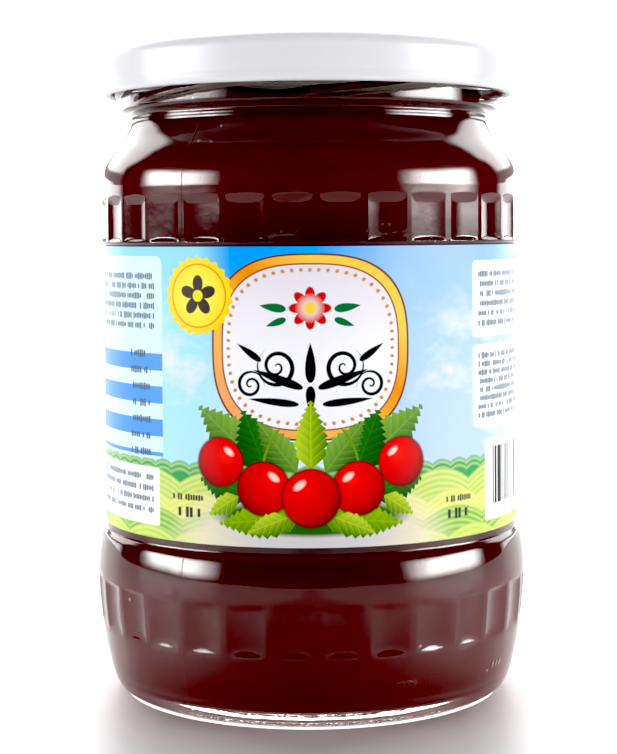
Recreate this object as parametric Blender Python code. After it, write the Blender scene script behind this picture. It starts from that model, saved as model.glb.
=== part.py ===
"""A shut jar of red fruit jam: fluted clear glass, a twist-off lid and a wrap-round paper label.

Metres, +Z up. The origin is the centre of the ring that the jar stands on, and the label's
front faces -Y. Angles run round +Z from there, so a positive one is to the right of the front.
"""

import math

import bmesh
import bpy

MM = 0.001

# Heights of the glass
FOOT_PUSH_UP = 1.5 * MM
WIDEST_HEIGHT = 25.8 * MM
PANEL_BOTTOM = 34.8 * MM
PANEL_TOP = 90.9 * MM
BAND_BOTTOM = 91.4 * MM
BAND_TOP = 102.4 * MM
NECK_HEIGHT = 116.2 * MM
FINISH_BOTTOM = 118.7 * MM
RIM_HEIGHT = 130.0 * MM

# Radii of the glass
FOOT_RADIUS = 37.2 * MM
FOOT_RING_WIDTH = 2.6 * MM
WIDEST_RADIUS = 44.05 * MM
PANEL_RADIUS = 42.05 * MM
BAND_RADIUS = 42.85 * MM
NECK_RADIUS = 36.7 * MM
FINISH_RADIUS = 38.85 * MM
MOUTH_RADIUS = 35.3 * MM
WALL = 2.45 * MM
BASE_THICKNESS = 3.7 * MM

# Flutes, pressed into a band above the label and a band below it
FLUTES = 30
FLUTE_SHARE = 0.85
FLUTE_DEPTH = 0.6 * MM
FIRST_RIDGE = math.radians(1.7)
UPPER_FLUTES = (91.5 * MM, 100.6 * MM)
LOWER_FLUTES = (14.0 * MM, 24.1 * MM)
LONG_RUN_OUT = 1.7 * MM
SHORT_RUN_OUT = 0.8 * MM

# Lug threads of the finish
THREADS = 6
THREAD_START = 118.9 * MM
THREAD_RISE = 0.08 * MM
THREAD_SPAN = 80.0
THREAD_TAPER = 9.0
THREAD_HALF_WIDTH = 0.95 * MM
THREAD_DEPTH = 1.15 * MM

# Jam
FIT_GAP = 0.3 * MM
JAM_LEVEL = 122.0 * MM
JAM_SIDES = 45

# Lid
LID_SIDES = 60
LID_RADIUS = 42.5 * MM
LID_TOP = 130.9 * MM
LID_SHEET = 0.5 * MM
SKIRT_TOP = 128.5 * MM
CURL_RADIUS = 0.95 * MM
CURL_HEIGHT = 122.15 * MM
LUG_REACH = 1.3 * MM
LUG_HALF_ANGLE = 9.0
LUG_ANGLE = 72.0
RIM_RING = (35.4 * MM, 38.5 * MM)
PANEL_DROP = 0.7 * MM
BUTTON_RADIUS = 8.5 * MM
BUTTON_RISE = 0.35 * MM

# Label
LABEL_SHEET = 0.2 * MM
LABEL_BOTTOM = 34.9 * MM
LABEL_TOP = 90.7 * MM
LABEL_STEP = 5
LABEL_OVERLAP = 15
LABEL_SEAM = 180
LAP_GAP = 0.05 * MM


def smooth_curve(points, per_span):
    """Points on a smooth curve that passes through the given (radius, height) points."""
    curve = []
    for i in range(len(points) - 1):
        before = points[max(i - 1, 0)]
        start, end = points[i], points[i + 1]
        after = points[min(i + 2, len(points) - 1)]
        for step in range(per_span):
            t = step / per_span
            curve.append(
                tuple(
                    0.5
                    * (
                        2 * start[k]
                        + (end[k] - before[k]) * t
                        + (2 * before[k] - 5 * start[k] + 4 * end[k] - after[k]) * t**2
                        + (3 * start[k] - before[k] - 3 * end[k] + after[k]) * t**3
                    )
                    for k in (0, 1)
                )
            )
    return curve + [points[-1]]


def moved_in(outline, gap):
    """The outline moved to its left by the gap, as seen when it is followed from start to end."""
    moved = []
    for i, (radius, height) in enumerate(outline):
        before = outline[max(i - 1, 0)]
        after = outline[min(i + 1, len(outline) - 1)]
        along_r, along_z = after[0] - before[0], after[1] - before[1]
        length = math.hypot(along_r, along_z)
        moved.append((radius - gap * along_z / length, height + gap * along_r / length))
    return moved


def direction(angle):
    """The way out from the axis at an angle to the right of the front."""
    return math.sin(angle), -math.cos(angle)


def turned_body(name, stretches, angles, material):
    """A solid turned round Z. Each stretch is an outline and a rule for its radius at each angle.

    The whole outline starts and ends on the axis.
    """
    mesh = bmesh.new()
    rings = []
    for outline, rule in stretches:
        for radius, height in outline:
            if radius == 0:
                rings.append([mesh.verts.new((0, 0, height))])
                continue
            ring = []
            for angle in angles:
                x, y = direction(angle)
                r = rule(radius, height, angle)
                ring.append(mesh.verts.new((x * r, y * r, height)))
            rings.append(ring)
    for lower, upper in zip(rings, rings[1:]):
        for i in range(len(angles)):
            j = (i + 1) % len(angles)
            if len(lower) == 1:
                mesh.faces.new((lower[0], upper[j], upper[i]))
            elif len(upper) == 1:
                mesh.faces.new((lower[i], lower[j], upper[0]))
            else:
                mesh.faces.new((lower[i], lower[j], upper[j], upper[i]))
    return add_object(name, mesh, material)


def add_object(name, mesh, material):
    bmesh.ops.recalc_face_normals(mesh, faces=mesh.faces)
    data = bpy.data.meshes.new(name)
    mesh.to_mesh(data)
    mesh.free()
    data.materials.append(material)
    data.shade_smooth()
    data.set_sharp_from_angle(angle=math.radians(35))
    made = bpy.data.objects.new(name, data)
    bpy.context.scene.collection.objects.link(made)
    return made


def finish(name, colour, roughness, metallic=0.0, transmission=0.0):
    material = bpy.data.materials.new(name)
    material.use_nodes = True
    shader = material.node_tree.nodes["Principled BSDF"]
    shader.inputs["Base Color"].default_value = (*colour, 1)
    shader.inputs["Roughness"].default_value = roughness
    shader.inputs["Metallic"].default_value = metallic
    shader.inputs["Transmission Weight"].default_value = transmission
    return material


def even_angles(sides):
    return [math.tau * i / sides for i in range(sides)]


def flute_angles():
    """Both edges and the middle of each flute, with a ridge just to the right of the front."""
    pitch = math.tau / FLUTES
    across = (-FLUTE_SHARE / 2, 0, FLUTE_SHARE / 2)
    return [FIRST_RIDGE + pitch * (i + 0.5 + share) for i in range(FLUTES) for share in across]


def flute_depth(angle, height, ends, run_outs):
    """How far a flute cuts in: hollow across its width, with a flat slope at each end."""
    pitch = math.tau / FLUTES
    from_middle = (angle - FIRST_RIDGE) % pitch - pitch / 2
    across = from_middle / (pitch * FLUTE_SHARE / 2)
    hollow = FLUTE_DEPTH * (1 - across**2)
    bulge = BAND_RADIUS * (1 - math.cos(from_middle))
    slopes = [
        FLUTE_DEPTH * away / run_out - bulge
        for away, run_out in zip((height - ends[0], ends[1] - height), run_outs)
    ]
    return max(0.0, min(hollow, *slopes))


def thread_rise(angle, height):
    """How far the lug threads stand out of the finish."""
    pitch = 360 / THREADS
    most = 0.0
    for turn in (0, 1):
        along = math.degrees(angle) % pitch + turn * pitch
        if along > THREAD_SPAN:
            continue
        middle = THREAD_START + THREAD_RISE * along
        across = (height - middle) / THREAD_HALF_WIDTH
        taper = min(1.0, along / THREAD_TAPER, (THREAD_SPAN - along) / THREAD_TAPER)
        most = max(most, THREAD_DEPTH * taper * (1 - across**2))
    return most


def plain(radius, height, angle):
    return radius


def fluted(radius, height, angle):
    lower = flute_depth(angle, height, LOWER_FLUTES, (LONG_RUN_OUT, SHORT_RUN_OUT))
    upper = flute_depth(angle, height, UPPER_FLUTES, (SHORT_RUN_OUT, LONG_RUN_OUT))
    return radius - max(lower, upper)


def threaded(radius, height, angle):
    return radius + thread_rise(angle, height)


def glass_foot():
    """The pushed-up underside and the ring that the jar stands on."""
    ring_inside = FOOT_RADIUS - FOOT_RING_WIDTH
    return [(0, FOOT_PUSH_UP), (ring_inside - 4 * MM, FOOT_PUSH_UP * 0.7), (ring_inside, 0)]


def outside_at(height, points):
    """The radius at a height, read from a smooth curve through the points."""
    curve = smooth_curve(points, 24)
    for (r0, z0), (r1, z1) in zip(curve, curve[1:]):
        if z0 <= height <= z1:
            return r0 + (r1 - r0) * (height - z0) / max(z1 - z0, 1e-9)
    return curve[-1][0]


def glass_lower():
    """The heel, the lower fluted band and the step in to the label panel."""
    points = [
        (FOOT_RADIUS, 0),
        (40.3 * MM, 2.0 * MM),
        (41.5 * MM, 5.3 * MM),
        (42.9 * MM, 11.5 * MM),
        (43.8 * MM, 20.5 * MM),
        (WIDEST_RADIUS, WIDEST_HEIGHT),
        (43.4 * MM, 29.9 * MM),
        (PANEL_RADIUS, PANEL_BOTTOM),
    ]
    bottom, top = LOWER_FLUTES
    heights = [
        0,
        0.7 * MM,
        2.2 * MM,
        5.5 * MM,
        10.0 * MM,
        bottom,
        bottom + LONG_RUN_OUT,
        top - SHORT_RUN_OUT,
        top,
        WIDEST_HEIGHT,
        28.4 * MM,
        31.2 * MM,
        PANEL_BOTTOM,
    ]
    return [(outside_at(height, points), height) for height in heights]


def glass_upper():
    """The upper fluted band, the shoulder, the neck and the bead under the finish."""
    shoulder = [
        (BAND_RADIUS, BAND_TOP),
        (42.4 * MM, 105.9 * MM),
        (40.8 * MM, 108.9 * MM),
        (38.3 * MM, 112.2 * MM),
        (NECK_RADIUS + 0.15 * MM, NECK_HEIGHT - 1.3 * MM),
        (NECK_RADIUS, NECK_HEIGHT),
    ]
    bottom, top = UPPER_FLUTES
    return [
        (PANEL_RADIUS, PANEL_TOP),
        (BAND_RADIUS, BAND_BOTTOM),
        (BAND_RADIUS, bottom + SHORT_RUN_OUT),
        (BAND_RADIUS, top - LONG_RUN_OUT),
        (BAND_RADIUS, top),
        *smooth_curve(shoulder, 2)[:-2],
        (NECK_RADIUS, NECK_HEIGHT),
        (NECK_RADIUS, FINISH_BOTTOM - 1.5 * MM),
        (FINISH_RADIUS - 0.8 * MM, FINISH_BOTTOM - 1.1 * MM),
        (FINISH_RADIUS, FINISH_BOTTOM - 0.4 * MM),
    ]


def glass_finish():
    """The wall that carries the threads, and the rounded rim."""
    top = THREAD_START + THREAD_RISE * THREAD_SPAN + THREAD_HALF_WIDTH
    rows = 9
    rise = (top - FINISH_BOTTOM) / (rows - 1)
    return [
        *[(FINISH_RADIUS, FINISH_BOTTOM + rise * i) for i in range(rows)],
        (FINISH_RADIUS, RIM_HEIGHT - 0.8 * MM),
        (FINISH_RADIUS - 1.0 * MM, RIM_HEIGHT),
        (MOUTH_RADIUS + 0.8 * MM, RIM_HEIGHT),
    ]


def inside_of_glass():
    """The inner wall from the rim down to the middle of the base."""
    return [
        (MOUTH_RADIUS, RIM_HEIGHT - 0.9 * MM),
        (MOUTH_RADIUS, FINISH_BOTTOM + 1.0 * MM),
        (NECK_RADIUS - WALL, NECK_HEIGHT),
        (36.6 * MM, 110.6 * MM),
        (39.1 * MM, 107.2 * MM),
        (BAND_RADIUS - WALL - FLUTE_DEPTH / 2, 103.8 * MM),
        (PANEL_RADIUS - WALL, PANEL_TOP),
        (PANEL_RADIUS - WALL, PANEL_BOTTOM + 1.5 * MM),
        (WIDEST_RADIUS - WALL - FLUTE_DEPTH / 2, WIDEST_HEIGHT),
        (40.4 * MM, 12.0 * MM),
        (38.6 * MM, 5.9 * MM),
        (35.0 * MM, BASE_THICKNESS),
        (0, BASE_THICKNESS + FOOT_PUSH_UP),
    ]


def make_glass():
    clear = finish("clear_glass", (0.95, 0.97, 0.96), 0.03, transmission=1.0)
    stretches = [
        (glass_foot(), plain),
        (glass_lower(), fluted),
        (glass_upper(), fluted),
        (glass_finish(), threaded),
        (inside_of_glass(), plain),
    ]
    return turned_body("glass_jar", stretches, flute_angles(), clear)


def make_jam():
    """One solid of jam up to its level, clear of the glass all round."""
    dark_red = finish("jam", (0.085, 0.004, 0.004), 0.25)
    wall = [point for point in inside_of_glass() if point[1] < JAM_LEVEL]
    wall = moved_in([(MOUTH_RADIUS, JAM_LEVEL), *wall], -FIT_GAP)
    wall[0] = (MOUTH_RADIUS - FIT_GAP, JAM_LEVEL)
    wall[-1] = (0, BASE_THICKNESS + FOOT_PUSH_UP + FIT_GAP)
    outline = [(0, JAM_LEVEL), *wall]
    return turned_body("jam", [(outline, plain)], even_angles(JAM_SIDES), dark_red)


def lug_push(angle):
    """How far a lug reaches in at an angle, as a share of its reach."""
    pitch = 360 / THREADS
    away = abs((math.degrees(angle) - LUG_ANGLE + pitch / 2) % pitch - pitch / 2)
    return max(0.0, min(1.0, 2 * (1 - away / LUG_HALF_ANGLE)))


def lugged(radius, height, angle):
    return radius - LUG_REACH * lug_push(angle)


def lid_top():
    """From the safety button in the middle out to the corner and down the skirt."""
    panel = LID_TOP - PANEL_DROP
    ring_inside, ring_outside = RIM_RING
    return [
        (0, panel + BUTTON_RISE),
        (BUTTON_RADIUS - 1.8 * MM, panel + BUTTON_RISE),
        (BUTTON_RADIUS, panel),
        (ring_inside - 1.6 * MM, panel),
        (ring_inside, LID_TOP),
        (ring_outside, LID_TOP),
        (40.7 * MM, LID_TOP - 0.55 * MM),
        (42.0 * MM, SKIRT_TOP + 0.55 * MM),
        (LID_RADIUS - 0.2 * MM, SKIRT_TOP - 0.6 * MM),
        (LID_RADIUS - 0.1 * MM, CURL_HEIGHT + 1.3 * MM),
    ]


def curl_points(start, end, count):
    """Points round the rolled edge, by their angle from straight out."""
    middle = LID_RADIUS - CURL_RADIUS
    turns = [math.radians(start + (end - start) * i / (count - 1)) for i in range(count)]
    return [
        (middle + CURL_RADIUS * math.cos(turn), CURL_HEIGHT + CURL_RADIUS * math.sin(turn))
        for turn in turns
    ]


def lid_underside():
    """Back up inside the skirt and in to the middle."""
    sheet = LID_SHEET
    panel = LID_TOP - PANEL_DROP - sheet
    ring_inside, ring_outside = RIM_RING
    return [
        (LID_RADIUS - 0.1 * MM - sheet, CURL_HEIGHT + 1.3 * MM),
        (LID_RADIUS - 0.2 * MM - sheet, SKIRT_TOP - 0.6 * MM),
        (41.6 * MM, SKIRT_TOP + 0.3 * MM),
        (40.5 * MM, LID_TOP - 0.55 * MM - sheet),
        (ring_outside, LID_TOP - sheet),
        (ring_inside, LID_TOP - sheet),
        (ring_inside - 1.4 * MM, panel),
        (BUTTON_RADIUS + 0.2 * MM, panel),
        (BUTTON_RADIUS - 1.6 * MM, panel + BUTTON_RISE),
        (0, panel + BUTTON_RISE),
    ]


def make_lid():
    white = finish("white_enamel", (0.8, 0.79, 0.81), 0.3, metallic=0.1)
    stretches = [
        (lid_top(), plain),
        (curl_points(30, -100, 4), plain),
        (curl_points(-135, -225, 3), lugged),
        (lid_underside(), plain),
    ]
    return turned_body("lid", stretches, even_angles(LID_SIDES), white)


def make_label():
    """One strip of paper wrapped round the panel, with its end lapped over its start."""
    paper = finish("label_paper", (0.55, 0.66, 0.82), 0.25)
    mesh = bmesh.new()
    inside = PANEL_RADIUS + FIT_GAP
    lap = LABEL_SHEET + LAP_GAP
    sections = []
    for turn in range(0, 360 + LABEL_OVERLAP + 1, LABEL_STEP):
        x, y = direction(math.radians(LABEL_SEAM + turn))
        near = inside + (lap if turn >= 360 else 0)
        far = near + LABEL_SHEET
        corners = ((near, LABEL_BOTTOM), (far, LABEL_BOTTOM), (far, LABEL_TOP), (near, LABEL_TOP))
        sections.append([mesh.verts.new((x * r, y * r, z)) for r, z in corners])
    for here, there in zip(sections, sections[1:]):
        for i in range(4):
            j = (i + 1) % 4
            mesh.faces.new((here[i], here[j], there[j], there[i]))
    mesh.faces.new(sections[0])
    mesh.faces.new(sections[-1])
    return add_object("label", mesh, paper)


for old in list(bpy.data.objects):
    bpy.data.objects.remove(old, do_unlink=True)

make_glass()
make_jam()
make_lid()
make_label()
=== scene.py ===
import math
from contextlib import contextmanager

import bmesh
import bpy
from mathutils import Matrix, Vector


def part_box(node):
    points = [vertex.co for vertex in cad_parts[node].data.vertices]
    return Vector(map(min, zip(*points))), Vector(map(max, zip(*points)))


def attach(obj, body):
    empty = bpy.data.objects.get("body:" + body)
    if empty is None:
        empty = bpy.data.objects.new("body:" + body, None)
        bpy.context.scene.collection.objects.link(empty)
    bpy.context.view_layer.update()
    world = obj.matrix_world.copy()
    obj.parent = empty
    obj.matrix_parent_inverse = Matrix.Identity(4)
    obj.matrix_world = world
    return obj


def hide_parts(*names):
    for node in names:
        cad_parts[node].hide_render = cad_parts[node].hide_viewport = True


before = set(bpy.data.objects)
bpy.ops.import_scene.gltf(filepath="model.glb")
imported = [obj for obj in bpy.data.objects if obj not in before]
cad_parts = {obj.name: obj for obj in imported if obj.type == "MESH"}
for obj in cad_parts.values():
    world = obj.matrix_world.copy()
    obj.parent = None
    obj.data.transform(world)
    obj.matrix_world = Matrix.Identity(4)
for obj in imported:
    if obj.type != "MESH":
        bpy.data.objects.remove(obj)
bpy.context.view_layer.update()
MM = 0.001

# The glass jar: one piece of clear soda-lime glass, pressed and blown in a two-part mould.
# Two bands of hollow flutes stiffen it, the label panel between them is sunk, and the finish
# at the top carries six short lug threads. The mould leaves a fine seam on two ridges.
FLUTES = 30
FLUTE_PITCH = math.tau / FLUTES
FLUTE_SHARE = 0.85
FLUTE_DEPTH = 0.6 * MM
FIRST_RIDGE = math.radians(1.7)
LONG_RUN_OUT = 1.7 * MM
SHORT_RUN_OUT = 0.8 * MM
UPPER_FLUTES = (91.5 * MM, 100.6 * MM)
LOWER_FLUTES = (14.0 * MM, 24.1 * MM)
SEAM_RIDGES = (-3, 12)
SEAM_HEIGHT = 0.07 * MM
SEAM_HALF_WIDTH = math.radians(0.22)
THREADS = 6
THREAD_START = 118.9 * MM
THREAD_RISE = 0.08 * MM
THREAD_SPAN = 80.0
THREAD_TAPER = 9.0
THREAD_HALF_WIDTH = 0.95 * MM
THREAD_DEPTH = 1.15 * MM

GLASS_LOW, GLASS_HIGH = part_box("glass_jar")
RIM_HEIGHT = GLASS_HIGH[2]
FOOT_RADIUS = 37.2 * MM
FOOT_PUSH_UP = 1.5 * MM
WIDEST_RADIUS = (GLASS_HIGH[0] - GLASS_LOW[0]) / 2
PANEL_RADIUS = 42.25 * MM
PANEL_BOTTOM = 33.4 * MM
PANEL_TOP = 90.9 * MM
BAND_RADIUS = 42.85 * MM
BAND_TOP = 102.4 * MM
NECK_RADIUS = 36.7 * MM
NECK_HEIGHT = 116.2 * MM
FINISH_RADIUS = 38.85 * MM
FINISH_BOTTOM = 118.7 * MM
MOUTH_RADIUS = 35.3 * MM
WALL = 2.45 * MM
PANEL_INSIDE = 39.6 * MM
PANEL_INSIDE_BOTTOM = PANEL_BOTTOM + 2.9 * MM
BASE_THICKNESS = 3.3 * MM


def smooth_curve(points, per_span):
    """Points on a smooth curve that passes through the given (radius, height) points."""
    curve = []
    for i in range(len(points) - 1):
        before, start = points[max(i - 1, 0)], points[i]
        end, after = points[i + 1], points[min(i + 2, len(points) - 1)]
        for step in range(per_span):
            t = step / per_span
            spot = []
            for k in (0, 1):
                slope = end[k] - before[k]
                bend = 2 * before[k] - 5 * start[k] + 4 * end[k] - after[k]
                twist = 3 * start[k] - before[k] - 3 * end[k] + after[k]
                spot.append(0.5 * (2 * start[k] + slope * t + bend * t**2 + twist * t**3))
            curve.append(tuple(spot))
    return curve + [points[-1]]


def direction(angle):
    """The way out from the axis at an angle to the right of the front."""
    return math.sin(angle), -math.cos(angle)


def turned_mesh(name, stretches, angles):
    """A mesh turned round Z from outlines, each with a rule for its radius at each angle."""
    mesh = bmesh.new()
    rings = []
    for outline, rule in stretches:
        for radius, height in outline:
            if radius == 0:
                rings.append([mesh.verts.new((0, 0, height))])
                continue
            ring = []
            for angle in angles:
                x, y = direction(angle)
                r = rule(radius, height, angle)
                ring.append(mesh.verts.new((x * r, y * r, height)))
            rings.append(ring)
    for lower, upper in zip(rings, rings[1:]):
        for i in range(len(angles)):
            j = (i + 1) % len(angles)
            if len(lower) == 1:
                mesh.faces.new((lower[0], upper[j], upper[i]))
            elif len(upper) == 1:
                mesh.faces.new((lower[i], lower[j], upper[0]))
            else:
                mesh.faces.new((lower[i], lower[j], upper[j], upper[i]))
    bmesh.ops.recalc_face_normals(mesh, faces=mesh.faces)
    data = bpy.data.meshes.new(name)
    mesh.to_mesh(data)
    mesh.free()
    data.shade_smooth()
    made = bpy.data.objects.new(name, data)
    bpy.context.scene.collection.objects.link(made)
    return made


def flute_angles():
    """Thirteen stations a flute, closer at its two edges, and two more beside each mould seam."""
    across = (-0.5, -0.455, -0.43, -0.415, -0.36, -0.24, -0.08, 0.08, 0.24, 0.36, 0.415, 0.43, 0.455)
    angles = [FIRST_RIDGE + FLUTE_PITCH * (i + 0.5 + share) for i in range(FLUTES) for share in across]
    for ridge in SEAM_RIDGES:
        seam = (FIRST_RIDGE + FLUTE_PITCH * ridge) % math.tau
        angles += [seam - SEAM_HALF_WIDTH, seam + SEAM_HALF_WIDTH]
    return sorted(angles)


def flute_depth(angle, height, ends, run_outs):
    """How far a flute cuts in: hollow across its width, with a flat slope at each end."""
    from_middle = (angle - FIRST_RIDGE) % FLUTE_PITCH - FLUTE_PITCH / 2
    across = from_middle / (FLUTE_PITCH * FLUTE_SHARE / 2)
    hollow = FLUTE_DEPTH * (1 - across**2)
    bulge = BAND_RADIUS * (1 - math.cos(from_middle))
    slopes = [
        FLUTE_DEPTH * away / run_out - bulge
        for away, run_out in zip((height - ends[0], ends[1] - height), run_outs)
    ]
    return max(0.0, min(hollow, *slopes))


def seam_rise(angle):
    """The fin that the mould's two halves leave."""
    rise = 0.0
    for ridge in SEAM_RIDGES:
        seam = FIRST_RIDGE + FLUTE_PITCH * ridge
        away = abs((angle - seam + math.pi) % math.tau - math.pi)
        rise = max(rise, SEAM_HEIGHT * (1 - away / SEAM_HALF_WIDTH))
    return rise


def fluted(radius, height, angle):
    """The wall, cut in by both bands of flutes and raised along the mould seams."""
    lower = flute_depth(angle, height, LOWER_FLUTES, (LONG_RUN_OUT, SHORT_RUN_OUT))
    upper = flute_depth(angle, height, UPPER_FLUTES, (SHORT_RUN_OUT, LONG_RUN_OUT))
    return radius - max(lower, upper) + seam_rise(angle)


def threaded(radius, height, angle):
    """The finish, with its lug threads rising to the right."""
    pitch = 360 / THREADS
    most = 0.0
    for turn in (0, 1):
        along = math.degrees(angle) % pitch + turn * pitch
        if along > THREAD_SPAN:
            continue
        middle = THREAD_START + THREAD_RISE * along
        across = (height - middle) / THREAD_HALF_WIDTH
        taper = min(1.0, along / THREAD_TAPER, (THREAD_SPAN - along) / THREAD_TAPER)
        most = max(most, THREAD_DEPTH * math.sqrt(taper) * (1 - across**2))
    return radius + most


def plain(radius, height, angle):
    return radius


def refined(outline, longest):
    """The outline with points added so that no span is longer than this."""
    fine = [outline[0]]
    for (r0, z0), (r1, z1) in zip(outline, outline[1:]):
        parts = max(1, math.ceil(math.hypot(r1 - r0, z1 - z0) / longest))
        fine += [(r0 + (r1 - r0) * i / parts, z0 + (z1 - z0) * i / parts) for i in range(1, parts + 1)]
    return fine


def inside_of_glass(per_span):
    """The inner wall from the rim down to the middle of the base."""
    points = [
        (MOUTH_RADIUS + 0.8 * MM, RIM_HEIGHT),
        (MOUTH_RADIUS, RIM_HEIGHT - 0.9 * MM),
        (MOUTH_RADIUS, FINISH_BOTTOM + 1.0 * MM),
        (NECK_RADIUS - WALL, NECK_HEIGHT),
        (36.6 * MM, 110.6 * MM),
        (39.1 * MM, 107.2 * MM),
        (BAND_RADIUS - WALL - FLUTE_DEPTH / 2, 103.8 * MM),
        (PANEL_INSIDE, PANEL_TOP),
        (PANEL_INSIDE, PANEL_INSIDE_BOTTOM),
        (WIDEST_RADIUS - WALL - FLUTE_DEPTH / 2, 25.8 * MM),
        (40.4 * MM, 11.6 * MM),
        (38.7 * MM, 5.5 * MM),
        (35.2 * MM, BASE_THICKNESS),
        (0, BASE_THICKNESS + FOOT_PUSH_UP),
    ]
    curve = smooth_curve(points, per_span)
    return [(min(r, PANEL_INSIDE) if PANEL_INSIDE_BOTTOM < z < PANEL_TOP else r, z) for r, z in curve]


foot = [(0, FOOT_PUSH_UP), (15 * MM, 1.35 * MM), (30.6 * MM, 1.0 * MM), (33.6 * MM, 0.5 * MM)]
foot += [(34.6 * MM, 0.08 * MM), (35.2 * MM, 0), (36.6 * MM, 0)]
heel = [
    (FOOT_RADIUS, 0.05 * MM),
    (38.9 * MM, 0.7 * MM),
    (40.3 * MM, 2.0 * MM),
    (41.5 * MM, 5.3 * MM),
    (42.9 * MM, 11.5 * MM),
    (43.8 * MM, 19.5 * MM),
    (WIDEST_RADIUS, 24.6 * MM),
    (43.98 * MM, 26.5 * MM),
    (43.8 * MM, 28.5 * MM),
    (43.47 * MM, 30.4 * MM),
    (43.03 * MM, 32.2 * MM),
    (42.6 * MM, 32.9 * MM),
    (PANEL_RADIUS + 0.02 * MM, PANEL_BOTTOM - 0.1 * MM),
]
shoulder = [
    (BAND_RADIUS, BAND_TOP),
    (42.4 * MM, 105.9 * MM),
    (40.8 * MM, 108.9 * MM),
    (38.3 * MM, 112.2 * MM),
    (NECK_RADIUS + 0.15 * MM, NECK_HEIGHT - 1.3 * MM),
    (NECK_RADIUS, NECK_HEIGHT),
    (NECK_RADIUS, FINISH_BOTTOM - 1.5 * MM),
    (FINISH_RADIUS - 0.8 * MM, FINISH_BOTTOM - 1.1 * MM),
    (FINISH_RADIUS - 0.1 * MM, FINISH_BOTTOM - 0.6 * MM),
    (FINISH_RADIUS, FINISH_BOTTOM),
]
thread_wall = [(FINISH_RADIUS, FINISH_BOTTOM + 0.15 * MM), (FINISH_RADIUS, 127.0 * MM)]
rim = [
    (FINISH_RADIUS, 128.6 * MM),
    (FINISH_RADIUS - 0.25 * MM, 129.4 * MM),
    (FINISH_RADIUS - 1.1 * MM, RIM_HEIGHT),
]
glass = turned_mesh(
    "jar_glass",
    [
        (foot, plain),
        (refined(smooth_curve(heel, 5), 0.62 * MM), fluted),
        (refined([(PANEL_RADIUS, PANEL_BOTTOM + 0.4 * MM), (PANEL_RADIUS, PANEL_TOP)], 8 * MM), plain),
        (refined([(BAND_RADIUS - 0.25 * MM, 91.15 * MM), (BAND_RADIUS, 91.4 * MM)], 0.3 * MM), plain),
        (refined([(BAND_RADIUS, 91.6 * MM), (BAND_RADIUS, 92.8 * MM)], 0.2 * MM), fluted),
        (refined([(BAND_RADIUS, 93.4 * MM), (BAND_RADIUS, 98.2 * MM)], 0.8 * MM), fluted),
        (refined([(BAND_RADIUS, 98.4 * MM), (BAND_RADIUS, 101.0 * MM)], 0.2 * MM), fluted),
        (refined([(BAND_RADIUS, 101.3 * MM), (BAND_RADIUS, BAND_TOP - 0.3 * MM)], 0.45 * MM), fluted),
        (refined(smooth_curve(shoulder, 5), 0.9 * MM), fluted),
        (refined(thread_wall, 0.3 * MM), threaded),
        (smooth_curve(rim, 3), plain),
        (refined(inside_of_glass(3), 5 * MM), plain),
    ],
    flute_angles(),
)


def shader_tree(name):
    """A new material with its node tree and its Principled shader."""
    material = bpy.data.materials.new(name)
    material.use_nodes = True
    tree = material.node_tree
    return material, tree, tree.nodes["Principled BSDF"]


def joined(tree, source, target):
    tree.links.new(source, target)


def number(tree, operation, *values):
    """A Math node. A value is a plain number or another node's output."""
    node = tree.nodes.new("ShaderNodeMath")
    node.operation = operation
    for socket, value in zip(node.inputs, values):
        if isinstance(value, (int, float)):
            socket.default_value = value
        else:
            joined(tree, value, socket)
    return node.outputs[0]


def noise(tree, scale, detail, roughness=0.5, coordinates=None):
    node = tree.nodes.new("ShaderNodeTexNoise")
    node.inputs["Scale"].default_value = scale
    node.inputs["Detail"].default_value = detail
    node.inputs["Roughness"].default_value = roughness
    if coordinates is None:
        coordinates = tree.nodes.new("ShaderNodeTexCoord").outputs["Object"]
    joined(tree, coordinates, node.inputs["Vector"])
    return node.outputs["Fac"]


def bump(tree, height, distance):
    node = tree.nodes.new("ShaderNodeBump")
    node.inputs["Distance"].default_value = distance
    joined(tree, height, node.inputs["Height"])
    return node.outputs["Normal"]


MOULD_DOTS = (22.0, 23.6, 25.2, 26.8, 56.5, 58.5, 60.5)
MOULD_DOT_HEIGHT = 8.5 * MM
MOULD_DOT_REACH = 42.2 * MM
MOULD_DOT_RADIUS = 0.8 * MM
STIPPLED_BELOW = 1.6 * MM


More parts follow.
